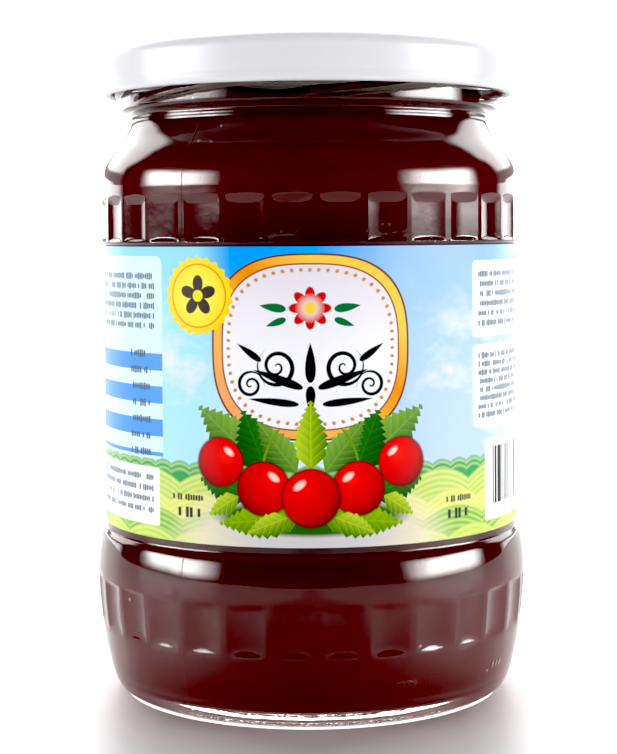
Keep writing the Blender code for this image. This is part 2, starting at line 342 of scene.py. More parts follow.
def clear_glass():
    """Clear glass with a mould's faint waves and a stippled foot. Lamps light the jam through it."""
    material, tree, shader = shader_tree("clear glass")
    shader.inputs["Base Color"].default_value = (0.955, 0.98, 0.95, 1)
    shader.inputs["Roughness"].default_value = 0.015
    shader.inputs["IOR"].default_value = 1.52
    shader.inputs["Transmission Weight"].default_value = 1.0
    waves = number(tree, "ADD", noise(tree, 90, 1.0), number(tree, "MULTIPLY", noise(tree, 420, 2.0), 0.12))
    relief = number(tree, "MULTIPLY", waves, 0.35)
    for angle in MOULD_DOTS:
        x, y = direction(math.radians(angle))
        away = tree.nodes.new("ShaderNodeVectorMath")
        away.operation = "DISTANCE"
        joined(tree, tree.nodes.new("ShaderNodeTexCoord").outputs["Object"], away.inputs[0])
        away.inputs[1].default_value = (x * MOULD_DOT_REACH, y * MOULD_DOT_REACH, MOULD_DOT_HEIGHT)
        fall = number(tree, "MULTIPLY", away.outputs["Value"], 1 / MOULD_DOT_RADIUS)
        dot = number(tree, "SUBTRACT", 1.0, fall)
        relief = number(tree, "ADD", relief, number(tree, "MAXIMUM", dot, 0.0))
    place = tree.nodes.new("ShaderNodeSeparateXYZ")
    joined(tree, tree.nodes.new("ShaderNodeTexCoord").outputs["Object"], place.inputs[0])
    under = number(tree, "LESS_THAN", place.outputs["Z"], STIPPLED_BELOW)
    stipple = number(tree, "MULTIPLY", noise(tree, 1500, 1.0), under)
    relief = number(tree, "ADD", relief, number(tree, "MULTIPLY", stipple, 1.4))
    joined(tree, bump(tree, relief, 0.3 * MM), shader.inputs["Normal"])
    path = tree.nodes.new("ShaderNodeLightPath")
    open_way = tree.nodes.new("ShaderNodeBsdfTransparent")
    open_way.inputs["Color"].default_value = (0.9, 0.92, 0.91, 1)
    mix = tree.nodes.new("ShaderNodeMixShader")
    lamp_ray = number(tree, "MAXIMUM", path.outputs["Is Shadow Ray"], path.outputs["Is Diffuse Ray"])
    joined(tree, lamp_ray, mix.inputs[0])
    joined(tree, shader.outputs[0], mix.inputs[1])
    joined(tree, open_way.outputs[0], mix.inputs[2])
    joined(tree, mix.outputs[0], tree.nodes["Material Output"].inputs["Surface"])
    return material


glass.data.materials.append(clear_glass())
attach(glass, "root")
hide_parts("glass_jar")

# The jam: strained red fruit jam, filled hot and set in the jar. It wets the whole wall, so it
# reaches just into the glass here, and its top settles unevenly just under the lid.
JAM_INTO_WALL = 0.12 * MM
JAM_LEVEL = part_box("jam")[1][2] - 0.6 * MM
JAM_DIP = 1.3 * MM
JAM_DIP_ANGLE = -8.0
JAM_DIP_SPREAD = 11.0
JAM_SIDES = 240


def jam_outline():
    """From the middle of the top out to the wall, and down it to the middle of the base."""
    wall = [point for point in inside_of_glass(4) if point[1] < JAM_LEVEL - 0.5 * MM]
    wall = [(MOUTH_RADIUS, JAM_LEVEL), *wall]
    outline = []
    for i, (radius, height) in enumerate(wall):
        before, after = wall[max(i - 1, 0)], wall[min(i + 1, len(wall) - 1)]
        along_r, along_z = after[0] - before[0], after[1] - before[1]
        length = math.hypot(along_r, along_z)
        outline.append((radius - JAM_INTO_WALL * along_z / length, height + JAM_INTO_WALL * along_r / length))
    outline[0] = (MOUTH_RADIUS + JAM_INTO_WALL, JAM_LEVEL)
    outline[-1] = (0, BASE_THICKNESS + FOOT_PUSH_UP - JAM_INTO_WALL)
    top = [(0, JAM_LEVEL), *[(MOUTH_RADIUS * share, JAM_LEVEL) for share in (0.2, 0.4, 0.6, 0.8, 0.95)]]
    return top + refined(outline, 2.5 * MM)


jam_angles = [math.tau * i / JAM_SIDES for i in range(JAM_SIDES)]
jam = turned_mesh("jam_filling", [(jam_outline(), plain)], jam_angles)
for vertex in jam.data.vertices:
    if vertex.co.z > JAM_LEVEL - 0.2 * MM:
        angle = math.degrees(math.atan2(vertex.co.x, -vertex.co.y))
        outward = math.hypot(vertex.co.x, vertex.co.y) / MOUTH_RADIUS
        hollow = math.exp(-(((angle - JAM_DIP_ANGLE) / JAM_DIP_SPREAD) ** 2))
        waves = 0.25 * math.sin(math.radians(5 * angle)) ** 2
        vertex.co.z -= JAM_DIP * (hollow + waves) * outward**3


# Painted shade on the jam: how light its colour is at each share of its height. It is darker from the step
# under the label up behind the label, lighter at the upper flutes and darkest under the lid.
JAM_PAINTED_SHADE = ((0.0, 1.0), (0.205, 0.98), (0.25, 0.6), (0.76, 0.55), (0.85, 0.88), (0.92, 0.5), (1.0, 0.44))


def set_jam():
    """Deep red, cloudy with pulp, with a few pale specks. Painted shade darkens it from the step under the
    label up behind the label, and most under the lid.
    """
    material, tree, shader = shader_tree("set jam")
    pulp = tree.nodes.new("ShaderNodeMix")
    pulp.data_type = "RGBA"
    pulp.inputs["A"].default_value = (0.08, 0.0014, 0.0018, 1)
    pulp.inputs["B"].default_value = (0.108, 0.003, 0.0034, 1)
    joined(tree, noise(tree, 140, 4.0, 0.6), pulp.inputs["Factor"])
    spots = tree.nodes.new("ShaderNodeTexVoronoi")
    spots.inputs["Scale"].default_value = 150
    joined(tree, tree.nodes.new("ShaderNodeTexCoord").outputs["Object"], spots.inputs["Vector"])
    near = number(tree, "LESS_THAN", spots.outputs["Distance"], 0.05)
    picked = tree.nodes.new("ShaderNodeSeparateColor")
    joined(tree, spots.outputs["Color"], picked.inputs[0])
    speck = number(tree, "MULTIPLY", near, number(tree, "GREATER_THAN", picked.outputs[0], 0.72))
    colour = tree.nodes.new("ShaderNodeMix")
    colour.data_type = "RGBA"
    joined(tree, pulp.outputs["Result"], colour.inputs["A"])
    colour.inputs["B"].default_value = (0.75, 0.4, 0.3, 1)
    joined(tree, number(tree, "MULTIPLY", speck, 0.6), colour.inputs["Factor"])
    place = tree.nodes.new("ShaderNodeSeparateXYZ")
    joined(tree, tree.nodes.new("ShaderNodeTexCoord").outputs["Object"], place.inputs[0])
    # Painted shade: the jam's colour is multiplied by a run of greys that follows its height.
    depth = tree.nodes.new("ShaderNodeValToRGB")
    joined(tree, number(tree, "DIVIDE", place.outputs["Z"], JAM_LEVEL), depth.inputs[0])
    stops = depth.color_ramp.elements
    while len(stops) < len(JAM_PAINTED_SHADE):
        stops.new(0.5)
    for stop, (height, shade) in zip(stops, JAM_PAINTED_SHADE):
        stop.position = height
        stop.color = (shade, shade, shade, 1)
    jam_with_painted_shade = tree.nodes.new("ShaderNodeMix")
    jam_with_painted_shade.data_type = "RGBA"
    jam_with_painted_shade.blend_type = "MULTIPLY"
    jam_with_painted_shade.inputs["Factor"].default_value = 1.0
    joined(tree, colour.outputs["Result"], jam_with_painted_shade.inputs["A"])
    joined(tree, depth.outputs[0], jam_with_painted_shade.inputs["B"])
    joined(tree, jam_with_painted_shade.outputs["Result"], shader.inputs["Base Color"])
    shader.inputs["Roughness"].default_value = 0.35
    shader.inputs["Specular IOR Level"].default_value = 0.08
    shader.inputs["Subsurface Weight"].default_value = 0.35
    shader.inputs["Subsurface Radius"].default_value = (1.0, 0.12, 0.08)
    shader.inputs["Subsurface Scale"].default_value = 4 * MM
    return material


jam.data.materials.append(set_jam())
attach(jam, "root")
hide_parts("jam")

# The lid: a twist-off cap drawn from one disc of tinplate, stove-enamelled white outside and
# lacquered tan inside. Its edge is rolled, and pressed in at six lugs that grip the threads.
LID_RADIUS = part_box("lid")[1][0]
LID_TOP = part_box("lid")[1][2]
LID_SHEET = 0.4 * MM
PANEL_DROP = 0.7 * MM
BUTTON_RADIUS = 8.5 * MM
BUTTON_RISE = 0.35 * MM
CURL_RADIUS = 0.95 * MM
CURL_HEIGHT = 122.15 * MM
SKIRT_MIDDLE = 125.5 * MM
LUG_REACH = 1.3 * MM
LUG_HALF_ANGLE = 9.0
LUG_ANGLE = 72.0
LID_SIDES = 300
ENAMEL_INTO_CURL = 3
lid_panel = LID_TOP - PANEL_DROP
lid_outside = [
    (BUTTON_RADIUS - 2.4 * MM, lid_panel + BUTTON_RISE),
    (BUTTON_RADIUS - 1.3 * MM, lid_panel + BUTTON_RISE * 0.9),
    (BUTTON_RADIUS - 0.3 * MM, lid_panel + 0.03 * MM),
    (BUTTON_RADIUS + 0.5 * MM, lid_panel),
    (20.0 * MM, lid_panel),
    (33.2 * MM, lid_panel),
    (34.0 * MM, lid_panel + 0.08 * MM),
    (35.2 * MM, LID_TOP - 0.08 * MM),
    (36.0 * MM, LID_TOP),
    (38.2 * MM, LID_TOP),
    (39.4 * MM, LID_TOP - 0.14 * MM),
    (40.7 * MM, LID_TOP - 0.55 * MM),
    (41.7 * MM, LID_TOP - 1.3 * MM),
    (42.2 * MM, LID_TOP - 2.3 * MM),
    (LID_RADIUS - 0.2 * MM, LID_TOP - 3.3 * MM),
    (LID_RADIUS - 0.12 * MM, SKIRT_MIDDLE),
    (LID_RADIUS - 0.1 * MM, CURL_HEIGHT + 1.4 * MM),
    (LID_RADIUS - 0.03 * MM, CURL_HEIGHT + 0.8 * MM),
]
lid_inside = [
    (LID_RADIUS - 0.1 * MM - LID_SHEET, CURL_HEIGHT + 1.4 * MM),
    (LID_RADIUS - 0.12 * MM - LID_SHEET, SKIRT_MIDDLE),
    (LID_RADIUS - 0.2 * MM - LID_SHEET, LID_TOP - 3.3 * MM),
    (41.3 * MM, LID_TOP - 1.7 * MM),
    (40.4 * MM, LID_TOP - 1.0 * MM),
    (38.4 * MM, LID_TOP - LID_SHEET),
    (36.0 * MM, LID_TOP - LID_SHEET),
    (34.2 * MM, lid_panel - LID_SHEET + 0.05 * MM),
    (33.2 * MM, lid_panel - LID_SHEET),
    (BUTTON_RADIUS + 0.4 * MM, lid_panel - LID_SHEET),
    (BUTTON_RADIUS - 1.4 * MM, lid_panel - LID_SHEET + BUTTON_RISE),
    (0, lid_panel - LID_SHEET + BUTTON_RISE),
]


def lugged(radius, height, angle):
    """The rolled edge, pressed in at the lugs."""
    pitch = 360 / THREADS
    away = abs((math.degrees(angle) - LUG_ANGLE + pitch / 2) % pitch - pitch / 2)
    push = max(0.0, min(1.0, 2 * (1 - away / LUG_HALF_ANGLE)))
    return radius - LUG_REACH * push * push * (3 - 2 * push)


def curl(start, end, count):
    """Points round the rolled edge, by their angle from straight out."""
    middle = LID_RADIUS - CURL_RADIUS
    turns = [math.radians(start + (end - start) * i / (count - 1)) for i in range(count)]
    return [(middle + CURL_RADIUS * math.cos(t), CURL_HEIGHT + CURL_RADIUS * math.sin(t)) for t in turns]


outer = [(0, lid_panel + BUTTON_RISE), *smooth_curve(lid_outside, 3)]
outer_curl = curl(25, -95, 9)
inner_curl = curl(-120, -230, 8)
lid = turned_mesh(
    "twist_off_lid",
    [(outer, plain), (outer_curl, plain), (inner_curl, lugged), (smooth_curve(lid_inside, 2), plain)],
    [math.tau * i / LID_SIDES for i in range(LID_SIDES)],
)
enamelled_faces = LID_SIDES * (len(outer) + len(outer_curl) + ENAMEL_INTO_CURL)
for face in lid.data.polygons:
    face.material_index = 0 if face.index < enamelled_faces else 1


def enamel(name, colour, roughness):
    """Stoved enamel on tinplate: glossy, with a very slight orange-peel skin."""
    material, tree, shader = shader_tree(name)
    blend = tree.nodes.new("ShaderNodeMix")
    blend.data_type = "RGBA"
    blend.inputs["A"].default_value = (*colour, 1)
    blend.inputs["B"].default_value = (*[part * 0.97 for part in colour], 1)
    joined(tree, noise(tree, 45, 3.0), blend.inputs["Factor"])
    joined(tree, blend.outputs["Result"], shader.inputs["Base Color"])
    shader.inputs["Roughness"].default_value = roughness
    shader.inputs["Coat Weight"].default_value = 0.4
    shader.inputs["Coat Roughness"].default_value = 0.2
    shader.inputs["Specular IOR Level"].default_value = 0.06
    skin = number(tree, "ADD", noise(tree, 850, 1.0), number(tree, "MULTIPLY", noise(tree, 70, 2.0), 2.5))
    joined(tree, bump(tree, skin, 0.03 * MM), shader.inputs["Normal"])
    return material


lid.data.materials.append(enamel("white enamel", (0.68, 0.675, 0.705), 0.36))
lid.data.materials.append(enamel("tan lacquer", (0.86, 0.6, 0.47), 0.3))
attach(lid, "root")
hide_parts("lid")

# The label: coated paper, printed in full colour, wrapped once round the sunk panel and glued.
# Its end laps over its start at the back. The print has a fruit garland under a gilt medallion.
LABEL_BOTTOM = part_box("label")[0][2]
LABEL_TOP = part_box("label")[1][2]
LABEL_INSIDE = PANEL_RADIUS + 0.06 * MM
LABEL_SHEET = 0.18 * MM
LABEL_GLUE = 0.02 * MM
LABEL_SEAM = 180.0
LABEL_LAP = 15.0
LABEL_LIFT = 2.0
LABEL_STEP = 0.75
LABEL_ROWS = 12


def label_strip():
    """One strip of paper, with its print mapped in millimetres from the middle of the front."""
    mesh = bmesh.new()
    place = mesh.loops.layers.uv.new("print")
    heights = [LABEL_BOTTOM + (LABEL_TOP - LABEL_BOTTOM) * row / LABEL_ROWS for row in range(LABEL_ROWS + 1)]
    turns = [LABEL_STEP * i for i in range(round((360 + LABEL_LAP) / LABEL_STEP) + 1)]
    sections = []
    around = {}
    for turn in turns:
        x, y = direction(math.radians(LABEL_SEAM + turn))
        lifted = max(0.0, min(1.0, 1 - (360 - turn) / LABEL_LIFT))
        near = LABEL_INSIDE + (LABEL_SHEET + LABEL_GLUE) * lifted
        corners = [(near, z) for z in heights] + [(near + LABEL_SHEET, z) for z in reversed(heights)]
        section = [mesh.verts.new((x * r, y * r, z)) for r, z in corners]
        for vertex in section:
            around[vertex] = math.radians(turn - 180) * (LABEL_INSIDE + LABEL_SHEET) / MM
        sections.append(section)
    count = len(sections[0])
    for here, there in zip(sections, sections[1:]):
        for i in range(count):
            j = (i + 1) % count
            mesh.faces.new((here[i], here[j], there[j], there[i]))
    for end in (sections[0], sections[-1]):
        for i in range(LABEL_ROWS):
            mesh.faces.new((end[i], end[i + 1], end[count - 2 - i], end[count - 1 - i]))
    bmesh.ops.recalc_face_normals(mesh, faces=mesh.faces)
    for face in mesh.faces:
        for loop in face.loops:
            loop[place].uv = (around[loop.vert], (loop.vert.co.z - LABEL_BOTTOM) / MM)
    data = bpy.data.meshes.new("label_wrap")
    mesh.to_mesh(data)
    mesh.free()
    data.shade_smooth()
    data.set_sharp_from_angle(angle=math.radians(40))
    made = bpy.data.objects.new("label_wrap", data)
    bpy.context.scene.collection.objects.link(made)
    return made


label = label_strip()
printed, tree, shader = shader_tree("printed label")
PRINT_EDGE = 0.14


def raw(value):
    return value.socket if isinstance(value, Field) else value


class Field:
    """A number at each point of the print, worked out by Math nodes."""

    def __init__(self, socket):
        self.socket = socket

    def __add__(self, other):
        return Field(number(tree, "ADD", self.socket, raw(other)))

    def __sub__(self, other):
        return Field(number(tree, "SUBTRACT", self.socket, raw(other)))

    def __rsub__(self, other):
        return Field(number(tree, "SUBTRACT", other, self.socket))

    def __mul__(self, other):
        return Field(number(tree, "MULTIPLY", self.socket, raw(other)))

    def __truediv__(self, other):
        return Field(number(tree, "DIVIDE", self.socket, raw(other)))

    def __pow__(self, other):
        return Field(number(tree, "POWER", self.socket, other))

    def by(self, operation, *others):
        return Field(number(tree, operation, self.socket, *map(raw, others)))

    def size(self):
        return self.by("ABSOLUTE")

    def held(self, low, high):
        node = tree.nodes.new("ShaderNodeClamp")
        joined(tree, self.socket, node.inputs["Value"])
        node.inputs["Min"].default_value = low
        node.inputs["Max"].default_value = high
        return Field(node.outputs["Result"])


def ink(red, green, blue):
    """A colour given as it looks on a screen, 0 to 255, turned into the light it throws back."""
    return tuple((part / 255) ** 2.2 * 0.93 for part in (red, green, blue)) + (1,)


mapped = tree.nodes.new("ShaderNodeUVMap")
mapped.uv_map = "print"
spread = tree.nodes.new("ShaderNodeMapping")
spread.inputs["Scale"].default_value = (0.045, 0.075, 1)
joined(tree, mapped.outputs["UV"], spread.inputs["Vector"])
clouds = Field(noise(tree, 1.0, 4.0, 0.6, spread.outputs[0]))
split = tree.nodes.new("ShaderNodeSeparateXYZ")
joined(tree, mapped.outputs["UV"], split.inputs[0])
u = Field(split.outputs["X"])
v = Field(split.outputs["Y"])
u_both = u.by("ABSOLUTE")
picture = None
CARRIED = ("u", "v", "u_both", "clouds")


@contextmanager
def layer(name):
    """One layer of the print, kept as a group of its own, over the layers before it."""
    global tree, u, v, u_both, clouds, picture
    outside, under = (u, v, u_both, clouds), picture
    whole, tree = tree, bpy.data.node_groups.new(name, "ShaderNodeTree")
    for field in CARRIED:
        tree.interface.new_socket(field, in_out="INPUT", socket_type="NodeSocketFloat")
    tree.interface.new_socket("picture", in_out="INPUT", socket_type="NodeSocketColor")
    tree.interface.new_socket("picture", in_out="OUTPUT", socket_type="NodeSocketColor")
    inlet = tree.nodes.new("NodeGroupInput").outputs
    u, v, u_both, clouds = (Field(inlet[field]) for field in CARRIED)
    picture = inlet["picture"]
    yield
    joined(tree, picture, tree.nodes.new("NodeGroupOutput").inputs["picture"])
    stamp = whole.nodes.new("ShaderNodeGroup")
    stamp.node_tree = tree
    tree = whole
    u, v, u_both, clouds = outside
    for field, value in zip(CARRIED, outside):
        joined(tree, value.socket, stamp.inputs[field])
    if under:
        joined(tree, under, stamp.inputs["picture"])
    picture = stamp.outputs["picture"]


def local(x, y, turn=0.0, wide=1.0, high=1.0, both=False):
    """The print's own two coordinates about a place. With both, it is drawn on each side alike."""
    across = u_both if both else u
    if turn == 0:
        return across.by("MULTIPLY_ADD", 1 / wide, -x / wide), v.by("MULTIPLY_ADD", 1 / high, -y / high)
    cosine, sine = math.cos(math.radians(turn)), math.sin(math.radians(turn))
    dx, dy = across - x, v - y
    a = dy.by("MULTIPLY_ADD", sine / wide, dx * (cosine / wide))
    b = dy.by("MULTIPLY_ADD", cosine / high, dx * (-sine / high))
    return a, b


def reach_of(place):
    """How far a point is from the middle of its own coordinates."""
    a, b = place
    return a.by("MULTIPLY_ADD", a, b * b).by("SQRT")


def covered(depth, edge=PRINT_EDGE):
    """1 where the depth into a shape is positive, with a narrow soft edge."""
    return depth.by("MULTIPLY_ADD", 1 / edge, 0.5).held(0, 1)


def tints(value, *stops):
    """A run of colours. Each stop is a place from 0 to 1 and a colour."""
    node = tree.nodes.new("ShaderNodeValToRGB")
    places = node.color_ramp.elements
    while len(places) < len(stops):
        places.new(0.5)
    for stop, (at, colour) in zip(places, stops):
        stop.position = at
        stop.color = colour
    joined(tree, value.socket, node.inputs[0])
    return node.outputs[0]


def paint(colour, mask):
    """Lays a colour over what is printed so far."""
    global picture
    node = tree.nodes.new("ShaderNodeMix")
    node.data_type = "RGBA"
    for socket, value in ((node.inputs["A"], picture), (node.inputs["B"], colour)):
        if isinstance(value, tuple):
            socket.default_value = value
        else:
            joined(tree, value, socket)
    joined(tree, mask.socket, node.inputs["Factor"])
    picture = node.outputs["Result"]


def slab(x, y, half_wide, half_high, corner):
    """Depth into a rectangle with round corners."""
    a, b = local(x, y)
    over_a = (a.size() - (half_wide - corner)).by("MAXIMUM", 0)
    over_b = (b.size() - (half_high - corner)).by("MAXIMUM", 0)
    return corner - (over_a * over_a + over_b * over_b).by("SQRT")


def small_print(x, y, half_wide, half_high, pitch, mark, colour, weight):
    """Rows of small marks of uneven height, with gaps, where a pack has its small print."""
    a, b = local(x - half_wide, y - half_high, wide=mark, high=pitch)
    node = tree.nodes.new("ShaderNodeTexWhiteNoise")
    node.noise_dimensions = "1D"
    joined(tree, (b.by("FLOOR") * 31.7 + a.by("FLOOR")).socket, node.inputs["W"])
    chance = Field(node.outputs["Value"])
    row = covered((chance * weight * 0.4 + weight * 0.3 - (b.by("FRACT") - 0.5).size()) * pitch, 0.22)
    stroke = covered((0.38 - (a.by("FRACT") - 0.5).size()) * mark, 0.24)
    kept = chance.by("GREATER_THAN", 0.2)
    paint(colour, covered(slab(x, y, half_wide, half_high, 0.1)) * row * stroke * kept)


# The sky: deep blue at the top, paler to the left, lilac to the right
with layer("sky"):
    rise = (v / 62 + (clouds - 0.5) * 0.55).held(0, 1)
    sky = tints(
        rise,
        (0.2, ink(226, 242, 252)),
        (0.46, ink(196, 232, 252)),
        (0.64, ink(150, 214, 253)),
        (0.78, ink(40, 172, 255)),
        (0.9, ink(0, 156, 255)),
    )
    paint(sky, rise * 0 + 1)
    near_front = ((64 - u.size()) / 10).held(0, 1)
    paint(ink(176, 204, 250), ((u - 1) / 15).held(0, 1) * near_front * 0.75)
    paint(ink(160, 226, 250), ((-15 - u) / 7).held(0, 1) * near_front * 0.8)
    paint(ink(232, 236, 252), ((clouds - 0.52) * 8).held(0, 1) * ((50 - v) / 14).held(0, 0.9))

# The field: rows of scallops in yellow-green and green, cream in the middle
SCALLOPS = (
    (15.4, 4.4, 0.0, 1.5, ink(50, 160, 84)),
    (13.6, 15.0, 4.0, 4.8, ink(186, 212, 92)),
    (9.6, 13.0, 9.5, 4.2, ink(216, 226, 104)),
    (6.2, 16.0, 2.0, 4.4, ink(120, 186, 44)),
    (2.4, 14.0, 7.0, 3.8, ink(190, 222, 76)),
)
with layer("field"):
    for top, pitch, shift, depth, green in SCALLOPS:
        along = (u + shift).by("WRAP", pitch / 2, -pitch / 2) / pitch
        under = top - along * along * depth * 2 - v
        paint(green, covered(under, 0.5))
        stripe = covered(0.28 - (under.by("WRAP", 1.1, 0.0) - 0.55).size(), 0.5)
        paint(ink(240, 242, 180), stripe * covered(under) * covered(depth + 0.4 - under, 0.8) * 0.45)
    middle = (1.25 - reach_of(local(0, -1.0, wide=24.5, high=12))).held(0, 1)
    cream = tints((u.size() / 27).held(0, 1), (0.35, ink(212, 205, 215)), (0.85, ink(240, 228, 194)))
    paint(cream, (middle * 2.6).held(0, 0.94))


def medallion(x, y, wide, high, both):
    """An oval plaque of pale lilac in a gilt rim, with a row of beads inside it."""
    a, b = local(x, y, wide=wide, high=high, both=both)
    inward = (1 - (a.size() ** 2.7 + b.size() ** 2.7) ** (1 / 2.7)) * min(wide, high)
    paint(ink(112, 34, 24), covered(inward + 0.32))
    gilt = tints(
        (a * 0.3 + b * 0.35 + 0.5).held(0, 1),
        (0.1, ink(252, 168, 104)),
        (0.35, ink(250, 190, 66)),
        (0.6, ink(236, 140, 20)),
        (0.85, ink(252, 204, 84)),
    )
    paint(gilt, covered(inward))
    paint(ink(140, 52, 28), covered(inward - 1.5))
    plaque = tints((b * 0.5 + 0.5).held(0, 1), (0.45, ink(246, 246, 254)), (0.95, ink(226, 219, 230)))
    paint(plaque, covered(inward - 1.75))
    step_round = (a.by("ARCTAN2", b) * (wide * 0.86)).by("WRAP", 0.85, -0.85)
    bead = (inward - 2.75).by("MULTIPLY_ADD", inward - 2.75, step_round * step_round).by("SQRT")
    paint(ink(206, 130, 60), covered(0.34 - bead, 0.2))


# The gilt medallion in front, and a smaller one on each side towards the back
with layer("medallions"):
    medallion(0, 37.2, 18.6, 17.0, False)
    medallion(97, 33.5, 14.5, 17.0, True)


def flower(x, y, radius, petals, colour, heart):
    """A round flower: petals about a small heart."""
    a, b = local(x, y)
    reach = reach_of((a, b))
    petal = ((a.by("ARCTAN2", b) * (petals / 2)).by("COSINE").size() * 0.42 + 0.58) * radius
    paint(ink(96, 100, 80), covered(petal - reach + 0.16, 0.2))
    petal_colour = tints((reach / radius).held(0, 1), (0.2, ink(236, 232, 220)), (0.75, colour))
    paint(petal_colour, covered(petal - reach))
    paint(heart, covered(radius * 0.3 - reach, 0.25))


BLACK = ink(12, 10, 22)
VOLUTE_SWELL = 0.1


def volute(x, y, radius, pitch, turn):
    """A black scroll that winds in to its middle and swells outwards, on both sides."""
    a, b = local(x, y, turn, both=True)
    reach = reach_of((a, b))
    coil = reach / pitch - b.by("ARCTAN2", a) / math.tau
    off = (coil.by("FRACT") - 0.5).size() * pitch
    paint(BLACK, covered(reach * VOLUTE_SWELL + 0.12 - off) * covered(radius - reach))


def drop(x, y, length, width, turn, colour, both=False):
    """A tapered stroke, round at one end and pointed at the other."""
    a, b = local(x, y, turn, both=both)
    along = (a / length).held(0, 1)
    swell = (along ** 0.5) * (1 - along) * (2.6 * width)
    paint(colour, covered(swell - b.size()) * covered(a) * covered(length - a))


# A black scroll ornament and a red rosette on the medallion
with layer("ornament"):
    volute(6.3, 33.6, 3.7, 2.0, 200)
    volute(11.2, 30.2, 2.6, 1.5, 20)
    drop(1.4, 29.6, 10.0, 0.85, 20, BLACK, True)
    drop(2.2, 26.6, 9.6, 0.7, 6, BLACK, True)
    drop(9.2, 34.6, 5.6, 0.65, 35, BLACK, True)
    drop(0, 30.6, 7.4, 1.0, 90, BLACK)
    drop(0, 30.0, 5.0, 0.9, -90, BLACK)
    flower(0, 44.4, 3.8, 8, ink(218, 4, 20), ink(250, 210, 80))
    drop(4.5, 44.2, 5.0, 0.8, 8, ink(0, 112, 60), True)
    drop(4.5, 42.4, 4.0, 0.65, -20, ink(0, 112, 60), True)


def leaf(x, y, length, width, turn, teeth, dark, light, both=False):
    """A saw-edged leaf from its stalk, with a pale rib and side veins."""
    a, b = local(x, y, turn, both=both)
    along = (a / length).held(0, 1)
    swell = ((along ** 0.7) * math.pi).by("SINE").by("MAXIMUM", 0.0) * width
    saw = ((a - b.size() * 0.9) * (teeth / length)).by("FRACT")
    inside = covered(swell - saw * (width * 0.2) - b.size()) * covered(a) * covered(length - a)
    shade = (saw * 0.22 + b / (width * 1.8) + 0.45).held(0, 1)
    paint(tints(shade, (0.0, dark), (1.0, light)), inside)
    veins = covered(0.1 - saw * (length / teeth), 0.16).by("MAXIMUM", covered(0.1 - b.size(), 0.16))
    paint(light, inside * veins * 0.8)


# Leaves on both sides of the garland, dark behind and bright below
with layer("leaves"):
    leaf(9.5, 15.5, 17.0, 4.4, 40, 9, ink(34, 92, 20), ink(126, 172, 66), True)
    leaf(8.0, 13.5, 13.5, 4.6, 68, 8, ink(0, 60, 14), ink(40, 124, 30), True)
    leaf(11.0, 10.0, 11.5, 3.6, 12, 8, ink(0, 66, 10), ink(54, 130, 24), True)
    paint(ink(50, 100, 8), covered(1 - reach_of(local(0, 5.6, wide=17.5, high=3.4)), 0.25))
    leaf(2.0, 5.8, 16.5, 3.6, -6, 10, ink(58, 112, 4), ink(146, 190, 24), True)


def stalk(x, y, height, lean, colour):
    """A thin stalk that bends over as it rises."""
    a, b = local(x, y)
    share = (b / height).held(0, 1)
    paint(colour, covered(0.24 - (a - share * share * lean).size()) * covered(b) * covered(height - b))


def cherry(x, y, radius, both=False):
    """A glossy round cherry, with a gleam high on one side."""
    reach = reach_of(local(x, y, both=both))
    paint(ink(80, 0, 4), covered(radius + 0.28 - reach, 0.45))
    lit = reach_of(local(x - radius * 0.3, y + radius * 0.35, 0, radius * 1.5, radius * 1.5, both))
    red = tints(
        lit.held(0, 1),
        (0.0, ink(250, 34, 22)),
        (0.32, ink(230, 8, 6)),
        (0.72, ink(200, 0, 4)),
        (1.0, ink(104, 0, 4)),
    )
    paint(red, covered(radius - reach))
    gleam = 1 - reach_of(local(x - radius * 0.4, y + radius * 0.45, 38, radius * 0.3, radius * 0.16, both))
    paint(ink(255, 226, 214), (gleam * 1.8).held(0, 0.85))


# The garland: a swag of five cherries with two stalks, and leaves between and below them
STALK = ink(112, 152, 30)
with layer("garland"):
    leaf(2.6, 14.0, 12.5, 3.2, 52, 8, ink(34, 92, 20), ink(126, 172, 66), True)
    leaf(0, 14.5, 13.5, 3.3, 90, 8, ink(60, 124, 14), ink(184, 210, 50))
    stalk(-8.9, 14.6, 7.5, 3.2, STALK)
    stalk(8.9, 14.6, 7.5, -3.2, STALK)
    cherry(17.4, 15.6, 4.5, True)
    cherry(8.9, 10.9, 4.9, True)
    cherry(0, 9.2, 5.3)
    leaf(13.8, 9.4, 7.5, 2.0, -32, 6, ink(60, 124, 14), ink(184, 210, 50), True)
    leaf(4.6, 5.6, 8.5, 2.1, -22, 6, ink(60, 124, 14), ink(184, 210, 50), True)

# A round yellow seal at the upper left, with a saw edge and a dark rosette of five petals
with layer("seal"):
    a, b = local(-22.0, 46.6)
    reach = reach_of((a, b))
    edge = (a.by("ARCTAN2", b) * 22).by("COSINE") * 0.28 + 7.2
    yellow = tints((reach / 7.4).held(0, 1), (0.2, ink(255, 240, 90)), (1.0, ink(255, 214, 0)))
    paint(yellow, covered(edge - reach))
    paint(ink(232, 150, 10), covered(0.16 - (reach - 5.9).size()))
    petals = (a.by("ARCTAN2", b) * 2.5).by("COSINE").size() * 2.4 + 1.5
    paint(ink(44, 36, 26), covered(petals - reach, 0.2))
    paint(ink(255, 226, 40), covered(1.1 - reach, 0.2))

